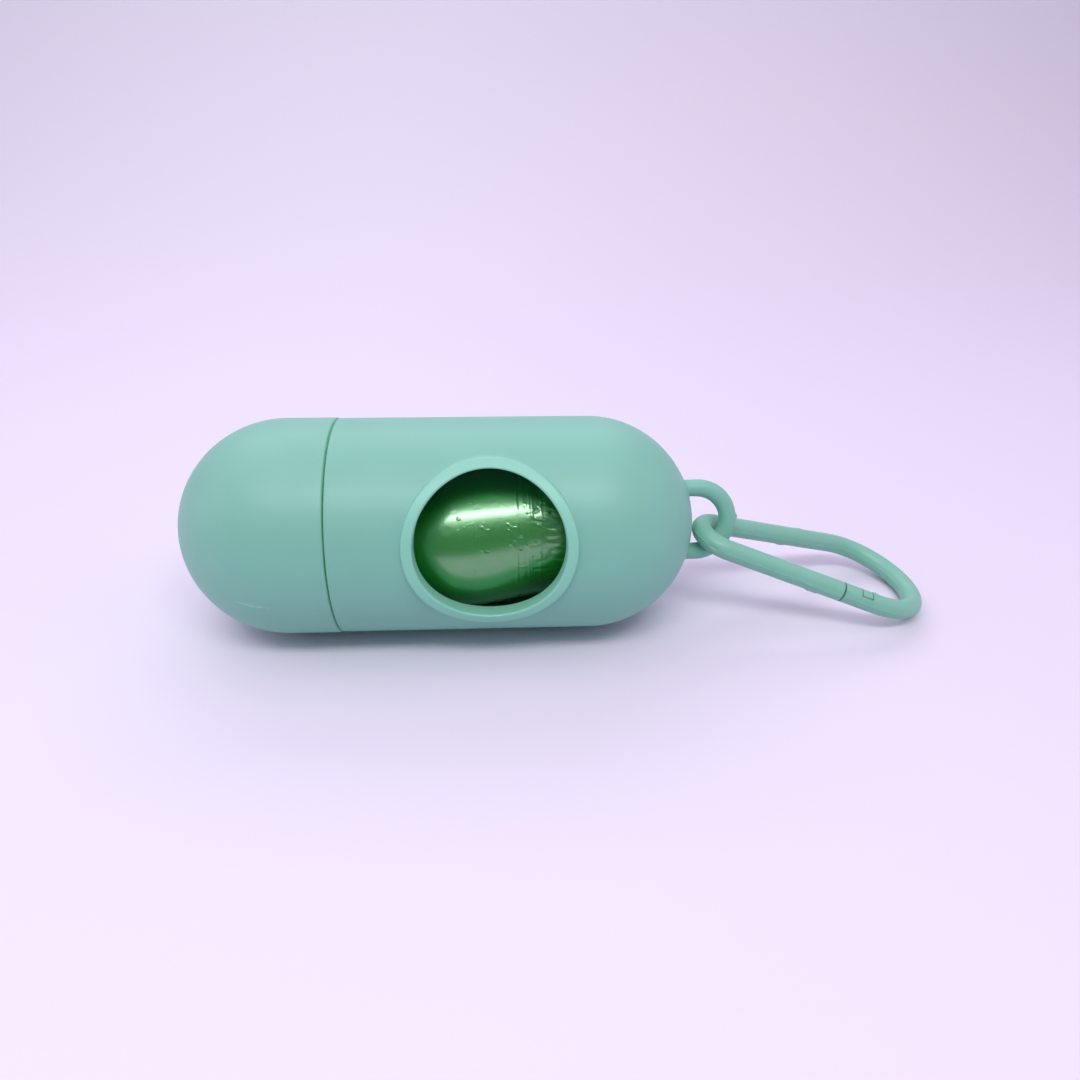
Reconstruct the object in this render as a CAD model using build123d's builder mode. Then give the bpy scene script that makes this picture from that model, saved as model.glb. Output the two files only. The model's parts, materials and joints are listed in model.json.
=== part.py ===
from build123d import *

import os
from math import asin, cos, degrees, radians, sin

# A bag dispenser for dog walks, lying on its side as it does on a table.
# A capsule in two moulded pieces, a body and a screw cap, holds a roll of bags that is pulled out through
# a round window. A loop on the body's dome carries a moulded carabiner.
# +X runs along the capsule towards the loop, +Z is up and the window looks towards -Y.
# The origin is on the surface the part lies on, halfway along the whole part.

# Roll of bags: one perforated strip wound on a cardboard tube
roll_d = 30.6
roll_length = 58.0
roll_lap = 0.5
core_d = 15.0
core_wall = 1.0
core_inset = 0.5

# Capsule body, with a bore that the roll lies in with play and that it leaves past the neck
roll_play = 3.4
roll_seat_gap = 0.3
roll_past_neck = 2.75
roll_in_dome = 0.5
body_wall = 3.0
body_edge_round = 0.3

# Screw cap, which stands a little proud of the body
cap_proud = 0.1
cap_wall = 2.7
cap_step_inset = 0.05
cap_edge_round = 0.3
seam_gap = 0.25

# Screw neck of the body, with room between it and the cap for the two threads
neck_length = 9.0
neck_wall = 1.2
neck_chamfer = 0.4
neck_end_gap = 0.4
thread_room = 0.7

# Window for pulling bags, with a raised rim that follows the capsule's curve
window_from_seam = 27.75
window_d = 26.0
window_tilt = 17.0
rim_width = 1.95
rim_height = 0.8
rim_outer_round = 0.6
rim_inner_round = 0.5

# Loop on the dome, in the mould's parting plane, square to the window
loop_d = 3.2
loop_eye_d = 9.2
loop_root_round = 0.5

# Carabiner: a round bar bent to a teardrop, narrow at the loop and wide at the far end
clip_d = 3.86
clip_narrow_r = 4.8
clip_wide_r = 11.2
clip_span = 32.3
clip_yaw = 5.0
clip_side_shift = 1.32
clip_eye_gap = 0.44
clip_dome_gap = 0.51
clip_seat_angle = 54.7

# Gate of the carabiner: a straight arm that springs inwards, with a T-shaped tip that locks in the nose
gate_root = 3.0
gate_root_gap = 0.2
gate_length = 20.8
gate_slit = 0.25
cheek_length = 3.4
notch_width = 2.45
notch_floor = 0.43
tip_gap = 0.2
tongue_thickness = 1.0
tongue_cover = 1.18
tongue_gap = 0.15

# Radii that follow from these
roll_r = roll_d / 2
core_r = core_d / 2
bore_r = roll_r + roll_play / 2
capsule_r = bore_r + body_wall
cap_r = capsule_r + cap_proud
neck_r = bore_r + neck_wall
cap_bore_r = neck_r + thread_room
cap_hollow_r = cap_r - cap_wall
rim_crest_r = capsule_r + rim_height
rim_r = window_d / 2 + rim_width
loop_r = (loop_eye_d + loop_d) / 2
clip_r = clip_d / 2

# Places along the capsule, from the centre of the cap's dome
cap_step_x = cap_step_inset
neck_end_x = cap_step_x + neck_end_gap
shoulder_x = neck_end_x + neck_length
seam_x = shoulder_x - seam_gap
window_x = seam_x + window_from_seam
roll_x = neck_end_x - roll_past_neck
dome_x = roll_x + roll_length - roll_in_dome

# Heights above the surface that the part lies on
axis_z = max(cap_r, capsule_r)
roll_z = axis_z - bore_r + roll_seat_gap + roll_r

# The carabiner's bar passes through the loop's eye, clear of the dome and low in the eye
seat_offset = loop_eye_d / 2 - clip_r - clip_eye_gap
seat_drop = seat_offset * sin(radians(clip_seat_angle))
seat_x = dome_x + capsule_r + clip_dome_gap + clip_r
seat_y = -seat_drop * sin(radians(window_tilt))
seat_z = axis_z - seat_drop * cos(radians(window_tilt))
loop_x = seat_x - seat_offset * cos(radians(clip_seat_angle))

# It slopes down so that its wide bend lies on the same surface as the capsule
clip_reach = (clip_narrow_r + clip_span) * cos(radians(clip_yaw)) + clip_wide_r
clip_slope = degrees(asin((seat_z - clip_r) / clip_reach))
clip_end_x = seat_x + clip_reach * cos(radians(clip_slope)) + clip_r

# The part's frame starts halfway between the cap's apex and the carabiner's far end
origin_x = (clip_end_x - cap_r) / 2

# Side view of the capsule: x along it from the cap's dome centre, y upwards
capsule_axis = Axis((0, 0, axis_z), (1, 0, 0))
profile_plane = Plane(origin=(-origin_x, 0, axis_z), x_dir=(1, 0, 0), z_dir=(0, -1, 0))

# Looking into the window, and the loop's plane, which is parallel
window_dir = Vector(0, -cos(radians(window_tilt)), sin(radians(window_tilt)))
window_plane = Plane(origin=(window_x - origin_x, 0, axis_z), x_dir=(1, 0, 0), z_dir=window_dir)
loop_plane = Plane(origin=(loop_x - origin_x, 0, axis_z), x_dir=(1, 0, 0), z_dir=window_dir)

# Across the roll at its left end, looking along +X
roll_plane = Plane(origin=(roll_x - origin_x, 0, roll_z), x_dir=(0, 1, 0), z_dir=(1, 0, 0))

# The carabiner's plane: origin at the narrow bend's centre, x towards the wide bend, gate on the -y side
slope_dir = Vector(cos(radians(clip_slope)), 0, -sin(radians(clip_slope)))
side_dir = Vector(0, 1, 0)
clip_dir = slope_dir * cos(radians(clip_yaw)) + side_dir * sin(radians(clip_yaw))
clip_seat = Vector(seat_x - origin_x, seat_y - clip_side_shift, seat_z)
clip_plane = Plane(
    origin=clip_seat + clip_dir * clip_narrow_r, x_dir=clip_dir, z_dir=slope_dir.cross(side_dir)
)

# Both arms leave the narrow bend at this angle to the carabiner's middle line, towards the wide bend
spread = degrees(asin((clip_wide_r - clip_narrow_r) / clip_span))
arm_angle = 90 + spread

# The gate's plane: origin where the gate bends, x along the gate, y inwards
gate_dir = clip_dir.rotate(Axis((0, 0, 0), clip_plane.z_dir), -spread)
inward_dir = clip_plane.z_dir.cross(gate_dir)
gate_start = clip_plane.origin + gate_dir * gate_root - inward_dir * clip_narrow_r
gate_plane = Plane(origin=gate_start, x_dir=gate_dir, z_dir=clip_plane.z_dir)
gate_section = Plane(origin=gate_start, z_dir=gate_dir)

# The lock, along the gate from where it bends and outwards from its middle line
nose_x = gate_length + gate_slit
notch_x = nose_x + cheek_length
tip_x = notch_x + tip_gap
tip_length = notch_width - 2 * tip_gap
notch_out = clip_r - notch_floor
tip_out = notch_out - tip_gap
tongue_out = clip_r - tongue_cover
slot_out = tongue_out + tongue_gap
slot_half = tongue_thickness / 2 + tongue_gap
corner = (Align.MIN, Align.MIN)

os.makedirs("parts", exist_ok=True)


def on_rim_crest(edge):
    """True for an edge that lies on the raised face of the window's rim."""
    point = edge @ 0
    from_axis = Vector(0, point.Y, point.Z - axis_z).length
    return abs(from_axis - rim_crest_r) < rim_height / 10


def on_dome(edge):
    """True for a short edge that lies on the body's dome, as where the loop's legs stand."""
    from_centre = ((edge @ 0) - Vector(dome_x - origin_x, 0, axis_z)).length
    return abs(from_centre - capsule_r) < body_edge_round / 10 and edge.length < 2 * loop_r


def round_edges(piece, x, radius):
    """The piece's edges that are circles of this radius round the capsule's axis at this place."""
    circles = piece.edges().filter_by(GeomType.CIRCLE)
    here = circles.filter_by(lambda edge: abs(edge.arc_center.X - x + origin_x) < seam_gap / 10)
    return here.filter_by(lambda edge: abs(edge.radius - radius) < seam_gap / 10)


# Body: rim, shell, neck and loop are one moulding
with BuildPart() as body_shell:
    # The rim is what a slightly larger cylinder leaves round the window
    with BuildSketch(Plane.YZ.offset(window_plane.origin.X - rim_r)):
        with Locations((0, axis_z)):
            Circle(rim_crest_r)
    extrude(amount=2 * rim_r)
    with BuildSketch(window_plane):
        Circle(rim_r)
    extrude(amount=2 * capsule_r, mode=Mode.INTERSECT)
    fillet(body_shell.edges().filter_by(on_rim_crest), rim_outer_round)

    # Outside of the shell, with its dome and its neck
    with BuildSketch(profile_plane):
        with BuildLine():
            Polyline(
                (dome_x, capsule_r),
                (shoulder_x, capsule_r),
                (shoulder_x, neck_r),
                (neck_end_x, neck_r),
                (neck_end_x, 0),
                (dome_x + capsule_r, 0),
            )
            CenterArc((dome_x, 0), capsule_r, 0, 90)
        make_face()
    revolve(axis=capsule_axis)
    fillet(round_edges(body_shell, shoulder_x, capsule_r), body_edge_round)
    chamfer(round_edges(body_shell, neck_end_x, neck_r), neck_chamfer)

    # Loop on the dome
    with BuildLine(loop_plane) as loop_path:
        loop_foot_x = dome_x + bore_r - loop_x
        Line((loop_foot_x, loop_r), (0, loop_r))
        CenterArc((0, 0), loop_r, 90, -180)
        Line((0, -loop_r), (loop_foot_x, -loop_r))
    with BuildSketch(Plane(origin=loop_path.line @ 0, z_dir=loop_path.line % 0)):
        Circle(loop_d / 2)
    sweep(path=loop_path.line)
    fillet(body_shell.edges().filter_by(on_dome), loop_root_round)

    # Bore for the roll, with a round end inside the dome
    with BuildSketch(profile_plane):
        with BuildLine():
            Polyline((dome_x, bore_r), (neck_end_x, bore_r), (neck_end_x, 0), (dome_x + bore_r, 0))
            CenterArc((dome_x, 0), bore_r, 0, 90)
        make_face()
    revolve(axis=capsule_axis, mode=Mode.SUBTRACT)

    # Window through the front wall only
    with BuildSketch(window_plane):
        Circle(window_d / 2)
    extrude(amount=2 * capsule_r, mode=Mode.SUBTRACT)
    fillet(body_shell.edges(Select.LAST).filter_by(on_rim_crest), rim_inner_round)
body_shell.part.label = "body_shell"
export_step(body_shell.part, "parts/body_shell.step")


# Cap: a dome whose skirt screws over the neck
with BuildPart() as screw_cap:
    with BuildSketch(profile_plane):
        with BuildLine():
            Line((-cap_hollow_r, 0), (-cap_r, 0))
            CenterArc((0, 0), cap_r, 90, 90)
            Polyline(
                (0, cap_r),
                (seam_x, cap_r),
                (seam_x, cap_bore_r),
                (cap_step_x, cap_bore_r),
                (cap_step_x, cap_hollow_r),
                (0, cap_hollow_r),
            )
            CenterArc((0, 0), cap_hollow_r, 90, 90)
        make_face()
    revolve(axis=capsule_axis)
    fillet(round_edges(screw_cap, seam_x, cap_r), cap_edge_round)
screw_cap.part.label = "screw_cap"
export_step(screw_cap.part, "parts/screw_cap.step")


# Roll: the strip's cut end steps down one lap, so its outline is a spiral of two half circles
with BuildPart() as bag_roll:
    with BuildSketch(roll_plane):
        with BuildLine():
            CenterArc((0, 0), roll_r, 180, 180)
            Line((roll_r, 0), (roll_r - roll_lap, 0))
            CenterArc((-roll_lap / 2, 0), roll_r - roll_lap / 2, 0, 180)
        make_face()
        Circle(core_r, mode=Mode.SUBTRACT)
    extrude(amount=roll_length)
bag_roll.part.label = "bag_roll"
export_step(bag_roll.part, "parts/bag_roll.step")


# Cardboard tube that the strip is wound on
with BuildPart() as roll_core:
    with BuildSketch(roll_plane.offset(core_inset)):
        Circle(core_r)
        Circle(core_r - core_wall, mode=Mode.SUBTRACT)
    extrude(amount=roll_length - 2 * core_inset)
roll_core.part.label = "roll_core"
export_step(roll_core.part, "parts/roll_core.step")


# Carabiner frame: the ring's bar from where the gate bends, round both bends, to the nose
with BuildPart() as carabiner_frame:
    with BuildLine(clip_plane) as ring:
        narrow_bend = CenterArc((0, 0), clip_narrow_r, -arm_angle, 2 * spread - 180)
        wide_bend = CenterArc((clip_span, 0), clip_wide_r, arm_angle, -2 * arm_angle)
        Line(narrow_bend @ 1, wide_bend @ 0)
        Line(narrow_bend @ 0, gate_start)
        Line(wide_bend @ 1, gate_start + gate_dir * nose_x)
    with BuildSketch(Plane(origin=ring.line @ 0, z_dir=ring.line % 0)):
        Circle(clip_r)
    sweep(path=ring.line)

    # Hollow for the gate's round foot
    with BuildSketch(gate_plane):
        Circle(clip_r + gate_root_gap)
    extrude(amount=clip_r, both=True, mode=Mode.SUBTRACT)

    # Nose: a slot between two cheeks for the tongue, then a notch right through for the tip
    with BuildSketch(gate_plane):
        with Locations((nose_x, -slot_out)):
            Rectangle(cheek_length, clip_d + slot_out, align=corner)
    extrude(amount=slot_half, both=True, mode=Mode.SUBTRACT)
    with BuildSketch(gate_plane):
        with Locations((notch_x, -notch_out)):
            Rectangle(notch_width, clip_d + notch_out, align=corner)
    extrude(amount=clip_r, both=True, mode=Mode.SUBTRACT)
carabiner_frame.part.label = "carabiner_frame"
export_step(carabiner_frame.part, "parts/carabiner_frame.step")


# Carabiner gate: the bar between the foot and the slit, then a thin tongue with a full-height tip
with BuildPart() as carabiner_gate:
    with BuildSketch(gate_section.offset(-clip_r)):
        Circle(clip_r)
    extrude(amount=clip_r + tip_x + tip_length)
    with BuildSketch(gate_plane):
        with BuildLine():
            CenterArc((0, 0), clip_r, 90, 180)
            Polyline(
                (0, -clip_r),
                (gate_length, -clip_r),
                (gate_length, -tongue_out),
                (tip_x, -tongue_out),
                (tip_x, -tip_out),
                (tip_x + tip_length, -tip_out),
                (tip_x + tip_length, clip_r),
                (0, clip_r),
            )
        make_face()
    extrude(amount=clip_r, both=True, mode=Mode.INTERSECT)
    for side in (1, -1):
        with BuildSketch(gate_plane.offset(side * tongue_thickness / 2)):
            with Locations((gate_length, -clip_r)):
                Rectangle(tip_x - gate_length, clip_d, align=corner)
        extrude(amount=side * clip_r, mode=Mode.SUBTRACT)
carabiner_gate.part.label = "carabiner_gate"
export_step(carabiner_gate.part, "parts/carabiner_gate.step")
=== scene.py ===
import json
from math import asin, atan2, cos, exp, pi, radians, sin, sqrt, tau

import bmesh
import bpy
from mathutils import Matrix, Vector, noise


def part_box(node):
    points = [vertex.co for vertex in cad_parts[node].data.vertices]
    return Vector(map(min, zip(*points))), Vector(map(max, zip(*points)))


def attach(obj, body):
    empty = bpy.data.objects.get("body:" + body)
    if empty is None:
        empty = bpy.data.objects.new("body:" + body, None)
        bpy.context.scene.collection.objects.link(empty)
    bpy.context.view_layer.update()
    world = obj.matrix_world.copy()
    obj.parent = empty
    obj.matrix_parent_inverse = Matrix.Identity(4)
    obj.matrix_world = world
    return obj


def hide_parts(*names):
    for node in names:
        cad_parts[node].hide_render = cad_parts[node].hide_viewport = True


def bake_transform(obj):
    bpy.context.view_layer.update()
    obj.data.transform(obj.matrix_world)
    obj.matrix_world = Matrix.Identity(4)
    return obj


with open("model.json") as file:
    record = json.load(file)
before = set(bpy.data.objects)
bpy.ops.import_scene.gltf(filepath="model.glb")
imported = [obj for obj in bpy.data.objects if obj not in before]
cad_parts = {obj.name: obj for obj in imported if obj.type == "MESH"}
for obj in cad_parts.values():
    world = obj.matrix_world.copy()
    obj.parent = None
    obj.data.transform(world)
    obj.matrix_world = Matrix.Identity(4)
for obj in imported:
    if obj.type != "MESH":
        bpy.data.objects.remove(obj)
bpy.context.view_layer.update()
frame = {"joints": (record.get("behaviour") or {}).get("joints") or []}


# ---- Body of the capsule
# One polypropylene injection moulding: a tube with a domed end, a screw neck, a round window with a raised
# rim to pull the bags over, and a loop for the clip. The mould is spark-eroded, which leaves a fine satin skin.
MM = 0.001

SHELL_LOW, SHELL_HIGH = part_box("body_shell")
CAP_LOW, CAP_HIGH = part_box("screw_cap")
ROLL_LOW, ROLL_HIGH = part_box("bag_roll")
CAPSULE_R = (SHELL_HIGH.z - SHELL_LOW.z) / 2
AXIS_Z = (SHELL_HIGH.z + SHELL_LOW.z) / 2
BODY_WALL = 3.0 * MM
BORE_R = CAPSULE_R - BODY_WALL
SEAM_GAP = 0.25 * MM
SHOULDER_X = CAP_HIGH.x + SEAM_GAP
NECK_END_X = SHELL_LOW.x
NECK_R = BORE_R + 1.2 * MM
NECK_CHAMFER = 0.4 * MM
EDGE_ROUND = 0.3 * MM
DOME_X = ROLL_HIGH.x - 0.5 * MM

WINDOW_X = CAP_HIGH.x + 27.75 * MM
WINDOW_R = 13.0 * MM
WINDOW_TILT = radians(17)
RIM_R = WINDOW_R + 1.95 * MM
RIM_CREST_R = CAPSULE_R + 0.8 * MM
RIM_OUTER_ROUND = 0.35 * MM
RIM_INNER_ROUND = 0.5 * MM
RIM_FOOT_ROUND = 0.15 * MM
WINDOW_DIR = Vector((0, -cos(WINDOW_TILT), sin(WINDOW_TILT)))
WINDOW_UP = Vector((0, sin(WINDOW_TILT), cos(WINDOW_TILT)))

LOOP_BAR_R = 1.6 * MM
LOOP_R = 6.2 * MM
LOOP_X = SHELL_HIGH.x - LOOP_BAR_R - LOOP_R
LOOP_ROOT_ROUND = 0.5 * MM

# The skin is a grid of columns round the axis, with a square field left open round the window
COLUMNS = 240
FIELD_COLUMNS = 44
FIELD_REACH = 18 * MM


def linear(hex_code):
    """An sRGB hex colour as linear red, green, blue and alpha."""
    channels = [int(hex_code[i : i + 2], 16) / 255 for i in (0, 2, 4)]
    return [c / 12.92 if c <= 0.04045 else ((c + 0.055) / 1.055) ** 2.4 for c in channels] + [1.0]


def socket(sockets, key):
    """The socket with this identifier, or with this name or index."""
    return next((s for s in sockets if s.identifier == key), None) or sockets[key]


def add_node(tree, kind, inputs=None, **settings):
    """Adds a node. Each input is given a value, or an output of another node to link from."""
    made = tree.nodes.new(kind)
    for name, value in settings.items():
        setattr(made, name, value)
    for key, value in (inputs or {}).items():
        if isinstance(value, bpy.types.NodeSocket):
            tree.links.new(value, socket(made.inputs, key))
        else:
            socket(made.inputs, key).default_value = value
    return made


def new_material(name):
    """A material with an empty tree, its Principled shader and its tree."""
    material = bpy.data.materials.new(name)
    material.use_nodes = True
    tree = material.node_tree
    tree.nodes.clear()
    shader = add_node(tree, "ShaderNodeBsdfPrincipled")
    add_node(tree, "ShaderNodeOutputMaterial", {"Surface": shader.outputs["BSDF"]})
    return material, shader, tree


def mixed(tree, factor, a, b):
    """The colour that a factor mixes from two others."""
    mix = add_node(tree, "ShaderNodeMix", {"Factor_Float": factor}, data_type="RGBA")
    for key, value in (("A_Color", a), ("B_Color", b)):
        if isinstance(value, bpy.types.NodeSocket):
            tree.links.new(value, socket(mix.inputs, key))
        else:
            socket(mix.inputs, key).default_value = value
    return socket(mix.outputs, "Result_Color")


def ramped(tree, value, start, end):
    """A value's place between two others, from 0 to 1 with soft ends."""
    ramp = add_node(
        tree, "ShaderNodeMapRange", {"Value": value, "From Min": start, "From Max": end},
        interpolation_type="SMOOTHSTEP")
    return ramp.outputs["Result"]


def new_piece(name, bm, material, sharp_from=32):
    """Turns a bmesh into a finished piece: doubles merged, faces outwards, edges sharp past an angle."""
    bmesh.ops.remove_doubles(bm, verts=bm.verts, dist=0.0005 * MM)
    bmesh.ops.recalc_face_normals(bm, faces=bm.faces)
    mesh = bpy.data.meshes.new(name)
    bm.to_mesh(mesh)
    bm.free()
    mesh.shade_smooth()
    mesh.set_sharp_from_angle(angle=radians(sharp_from))
    mesh.materials.append(material)
    piece = bpy.data.objects.new(name, mesh)
    bpy.context.scene.collection.objects.link(piece)
    return piece


def arc(x, r, radius, start, end, steps):
    """Points of a profile's arc about (x, r), from one angle to another in degrees."""
    angles = [radians(start + (end - start) * i / steps) for i in range(steps + 1)]
    return [(x + radius * cos(a), r + radius * sin(a)) for a in angles]


def even(start, end, step):
    """Evenly spaced values between two others, without the first one."""
    count = max(1, round(abs(end - start) / step))
    return [start + (end - start) * (i + 1) / count for i in range(count)]


def on_capsule(x, angle, radius):
    """A point at x, at an angle round the capsule's axis from the window's middle, at a radius."""
    side = cos(angle) * WINDOW_DIR + sin(angle) * WINDOW_UP
    return Vector((x, 0, AXIS_Z)) + radius * side


def lathe_ring(bm, x, radius):
    """One ring of a lathed skin, or a single point where it meets the axis."""
    if radius < 1e-7:
        return [bm.verts.new((x, 0, AXIS_Z))]
    return [bm.verts.new(on_capsule(x, tau * k / COLUMNS, radius)) for k in range(COLUMNS)]


def join_rings(bm, one, two, skip=()):
    """Joins two rings with a band of faces. Either may be a point, and skip names columns left open."""
    for k in range(max(len(one), len(two))):
        if k in skip:
            continue
        corners = [one[k % len(one)], one[(k + 1) % len(one)], two[(k + 1) % len(two)], two[k % len(two)]]
        bm.faces.new(list(dict.fromkeys(corners)))


mint, mint_shader, mint_tree = new_material("satin_moulded_mint_polypropylene")

shell_bm = bmesh.new()
field_low = WINDOW_X - FIELD_REACH
field_high = WINDOW_X + FIELD_REACH
field = [k % COLUMNS for k in range(-FIELD_COLUMNS, FIELD_COLUMNS)]
bore_stretch = even(DOME_X, field_high, 1.2 * MM) + even(field_high, field_low, 1.2 * MM)
bore_stretch += even(field_low, NECK_END_X, 1.5 * MM)
skin_stretch = even(SHOULDER_X + EDGE_ROUND, field_low, 1.2 * MM) + even(field_low, field_high, 1.2 * MM)
skin_stretch += even(field_high, DOME_X, 1.2 * MM)
profile = [(DOME_X + BORE_R, 0)]
profile += arc(DOME_X, 0, BORE_R, 2, 90, 30)
profile += [(x, BORE_R) for x in bore_stretch]
profile += [(NECK_END_X, NECK_R - NECK_CHAMFER), (NECK_END_X + NECK_CHAMFER, NECK_R), (SHOULDER_X, NECK_R)]
profile += arc(SHOULDER_X + EDGE_ROUND, CAPSULE_R - EDGE_ROUND, EDGE_ROUND, 180, 90, 5)
profile += [(x, CAPSULE_R) for x in skin_stretch]
profile += arc(DOME_X, 0, CAPSULE_R, 88, 1, 58)
profile += [(DOME_X + CAPSULE_R, 0)]

rings = [lathe_ring(shell_bm, x, r) for x, r in profile]
for (x, r), one, (next_x, next_r), two in zip(profile, rings, profile[1:], rings[1:]):
    in_field = min(x, next_x) > field_low - 1e-7 and max(x, next_x) < field_high + 1e-7
    straight = r == next_r and r in (BORE_R, CAPSULE_R)
    join_rings(shell_bm, one, two, field if in_field and straight else ())


def window_border(radius):
    """The field's border on one cylinder, going round it once, as (vertex, x, arc length) from the middle."""
    marked = [
        (i, x) for i, (x, r) in enumerate(profile)
        if r == radius and field_low - 1e-7 < x < field_high + 1e-7
    ]
    marked.sort(key=lambda entry: entry[1])
    side = range(-FIELD_COLUMNS, FIELD_COLUMNS)
    cells = [(marked[0], k) for k in side]
    cells += [(entry, FIELD_COLUMNS) for entry in marked[:-1]]
    cells += [(marked[-1], -k) for k in side]
    cells += [(entry, -FIELD_COLUMNS) for entry in reversed(marked[1:])]
    return [(rings[i][k % COLUMNS], x - WINDOW_X, radius * tau * k / COLUMNS) for (i, x), k in cells]


def window_ring(bm, border, rho, radius):
    """A ring at a distance rho from the window's axis and a radius from the capsule's, one vertex a cell."""
    ring = []
    for _, x, s in border:
        turn = atan2(s, x)
        ring.append(bm.verts.new(on_capsule(WINDOW_X + rho * cos(turn), asin(rho * sin(turn) / radius), radius)))
    return ring


def field_rings(bm, border, rho, radius, count):
    """Rings between the field's border and a circle round the window, all on one cylinder."""
    made = [[vertex for vertex, _, _ in border]]
    for t in [m / count for m in range(1, count)]:
        ring = []
        for _, x, s in border:
            turn = atan2(s, x)
            round_x, round_s = rho * cos(turn), radius * asin(rho * sin(turn) / radius)
            at = on_capsule(WINDOW_X + x + (round_x - x) * t, (s + (round_s - s) * t) / radius, radius)
            ring.append(bm.verts.new(at))
        made.append(ring)
    return made


outer_border = window_border(CAPSULE_R)
inner_border = window_border(BORE_R)
rim_profile = arc(RIM_R + RIM_FOOT_ROUND, CAPSULE_R + RIM_FOOT_ROUND, RIM_FOOT_ROUND, -90, -180, 4)
rim_profile += arc(RIM_R - RIM_OUTER_ROUND, RIM_CREST_R - RIM_OUTER_ROUND, RIM_OUTER_ROUND, 0, 90, 10)
rim_profile += arc(WINDOW_R + RIM_INNER_ROUND, RIM_CREST_R - RIM_INNER_ROUND, RIM_INNER_ROUND, 90, 180, 8)
lip_profile = arc(WINDOW_R + RIM_FOOT_ROUND, BORE_R + RIM_FOOT_ROUND, RIM_FOOT_ROUND, 180, 270, 4)
window_rings = field_rings(shell_bm, outer_border, rim_profile[0][0], CAPSULE_R, 12)
window_rings += [window_ring(shell_bm, outer_border, rho, r) for rho, r in rim_profile]
window_rings += [window_ring(shell_bm, inner_border, rho, r) for rho, r in lip_profile]
window_rings += reversed(field_rings(shell_bm, inner_border, lip_profile[-1][0], BORE_R, 9))
for one, two in zip(window_rings, window_rings[1:]):
    join_rings(shell_bm, one, two)
bmesh.ops.delete(shell_bm, geom=[v for v in shell_bm.verts if not v.link_faces], context="VERTS")

# The loop's bar stands on the dome in two rounded feet. A fine parting line runs round it, with a nub of
# flash at its far end, where the two halves of the mould meet.
BAR_SIDES = 40
PARTING_HEIGHT = 0.07 * MM
PARTING_WIDTH = 0.09 * MM
NUB_HEIGHT = 0.35 * MM
NUB_TURN = radians(86)
BAR_ANGLES = [tau * k / BAR_SIDES for k in range(BAR_SIDES)]
BAR_ANGLES += [(line + step) % tau for line in (0, pi) for step in (-0.08, -0.03, 0.03, 0.08)]
BAR_ANGLES.sort()


def ridge(distance, width):
    """Height of a rounded ridge, from 1 on its crest to 0 well beside it."""
    return exp(-((distance / width) ** 2))


def off(angle, line):
    """The angle between a direction round a bar and a line along it."""
    return abs((angle - line + pi) % tau - pi)


def parting(angle, bar_r):
    """Height of the parting lines on the outer and the inner side of a bar."""
    return PARTING_HEIGHT * ridge(min(off(angle, 0), off(angle, pi)) * bar_r, PARTING_WIDTH)


def bar_ring(bm, centre, along, across, radius, lift=None):
    """A ring round a bar. Its angles start on the side that along x across points to."""
    out = along.cross(across).normalized()
    ring = []
    for angle in BAR_ANGLES:
        height = radius + (lift(angle) if lift else 0)
        ring.append(bm.verts.new(centre + height * (cos(angle) * out + sin(angle) * across)))
    return ring


def bar_mesh(bm, chain):
    """Joins the rings of a bar and closes both ends."""
    for one, two in zip(chain, chain[1:]):
        join_rings(bm, one, two)
    bm.faces.new(chain[0])
    bm.faces.new(chain[-1])


def foot_ring(bm, sign, rho, rise):
    """A ring round one foot of the loop, rho from its leg's line and a rise above the dome."""
    out = sign * WINDOW_UP
    ring = []
    for angle in BAR_ANGLES:
        point = sign * LOOP_R * WINDOW_UP + rho * (cos(angle) * out - sin(angle) * WINDOW_DIR)
        dome = sqrt(CAPSULE_R**2 - point.length_squared)
        ring.append(bm.verts.new(Vector((DOME_X + dome + rise, 0, AXIS_Z)) + point))
    return ring


def loop_foot(bm, sign):
    """The rings of one foot, from inside the dome's wall up to the round bar."""
    made = [foot_ring(bm, sign, LOOP_BAR_R + LOOP_ROOT_ROUND, -1.2 * MM)]
    for a in [radians(15 * j) for j in range(7)]:
        rho = LOOP_BAR_R + LOOP_ROOT_ROUND * (1 - sin(a))
        made.append(foot_ring(bm, sign, rho, LOOP_ROOT_ROUND * (1 - cos(a)) - 0.01 * MM))
    return made


def loop_lift(from_nub):
    """The lift round the loop's bar, at a distance along it from the nub."""
    def lift(angle):
        nub = ridge(from_nub, 0.5 * MM) * ridge(off(angle, 0) * LOOP_BAR_R, 0.3 * MM)
        return parting(angle, LOOP_BAR_R) + NUB_HEIGHT * nub

    return lift


loop_bm = bmesh.new()
loop_chain = loop_foot(loop_bm, 1)
for turn in [pi * j / 56 for j in range(57)]:
    out = cos(turn) * WINDOW_UP + sin(turn) * Vector((1, 0, 0))
    along = -sin(turn) * WINDOW_UP + cos(turn) * Vector((1, 0, 0))
    centre = Vector((LOOP_X, 0, AXIS_Z)) + LOOP_R * out
    lift = loop_lift(abs(turn - NUB_TURN) * (LOOP_R + LOOP_BAR_R))
    loop_chain.append(bar_ring(loop_bm, centre, along, -WINDOW_DIR, LOOP_BAR_R, lift))
loop_chain += reversed(loop_foot(loop_bm, -1))
bar_mesh(loop_bm, loop_chain)

body_piece = new_piece("body_moulding", shell_bm, mint)
loop_piece = new_piece("body_loop", loop_bm, mint)


def cut_or_join(piece, tool, operation):
    """Joins a second closed piece to the first or cuts it away, and removes the second."""
    modifier = piece.modifiers.new("boolean", "BOOLEAN")
    modifier.operation = operation
    modifier.solver = "EXACT"
    modifier.object = tool
    made = bpy.data.meshes.new_from_object(piece.evaluated_get(bpy.context.evaluated_depsgraph_get()))
    piece.modifiers.remove(modifier)
    piece.data = made
    bpy.data.objects.remove(tool)
    made.set_sharp_from_angle(angle=radians(32))


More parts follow.
